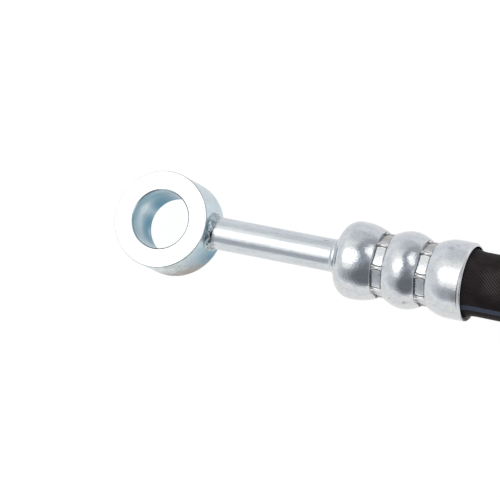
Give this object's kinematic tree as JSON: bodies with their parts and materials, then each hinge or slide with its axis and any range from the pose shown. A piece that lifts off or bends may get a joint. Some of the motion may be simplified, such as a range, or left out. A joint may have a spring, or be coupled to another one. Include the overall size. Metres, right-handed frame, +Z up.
{
  "type": "power steering pressure hose",
  "caption": "Rubber pressure hose with crimped steel ferrules and short pipes that end in brazed banjo eyes.",
  "frame": {"origin": "on the surface that the hose lies on, under the middle of the near fitting, which is its eye, pipe and ferrule", "axes": "+X from the near eye along its pipe to the hose, +Y to the side on which the far fitting lies, +Z up along the bores of the eyes"},
  "size_m": [0.2444, 0.2137, 0.0214],
  "materials": {
    "zinc_eye": "bright zinc plated, turned",
    "zinc_pipe": "bright zinc plated, drawn",
    "zinc_ferrule": "satin zinc plated, crimped",
    "braze": "uneven plated braze metal",
    "rubber": "matte, with a fine wrapped texture"
  },
  "bodies": {
    "root": {"banjo_eye": "zinc_eye", "banjo_braze": "braze", "banjo_pipe": "zinc_pipe", "crimp_ferrule": "zinc_ferrule", "pressure_hose": "rubber", "far_banjo_eye": "zinc_eye", "far_banjo_braze": "braze", "far_banjo_pipe": "zinc_pipe", "far_crimp_ferrule": "zinc_ferrule"}
  },
  "joints": []
}
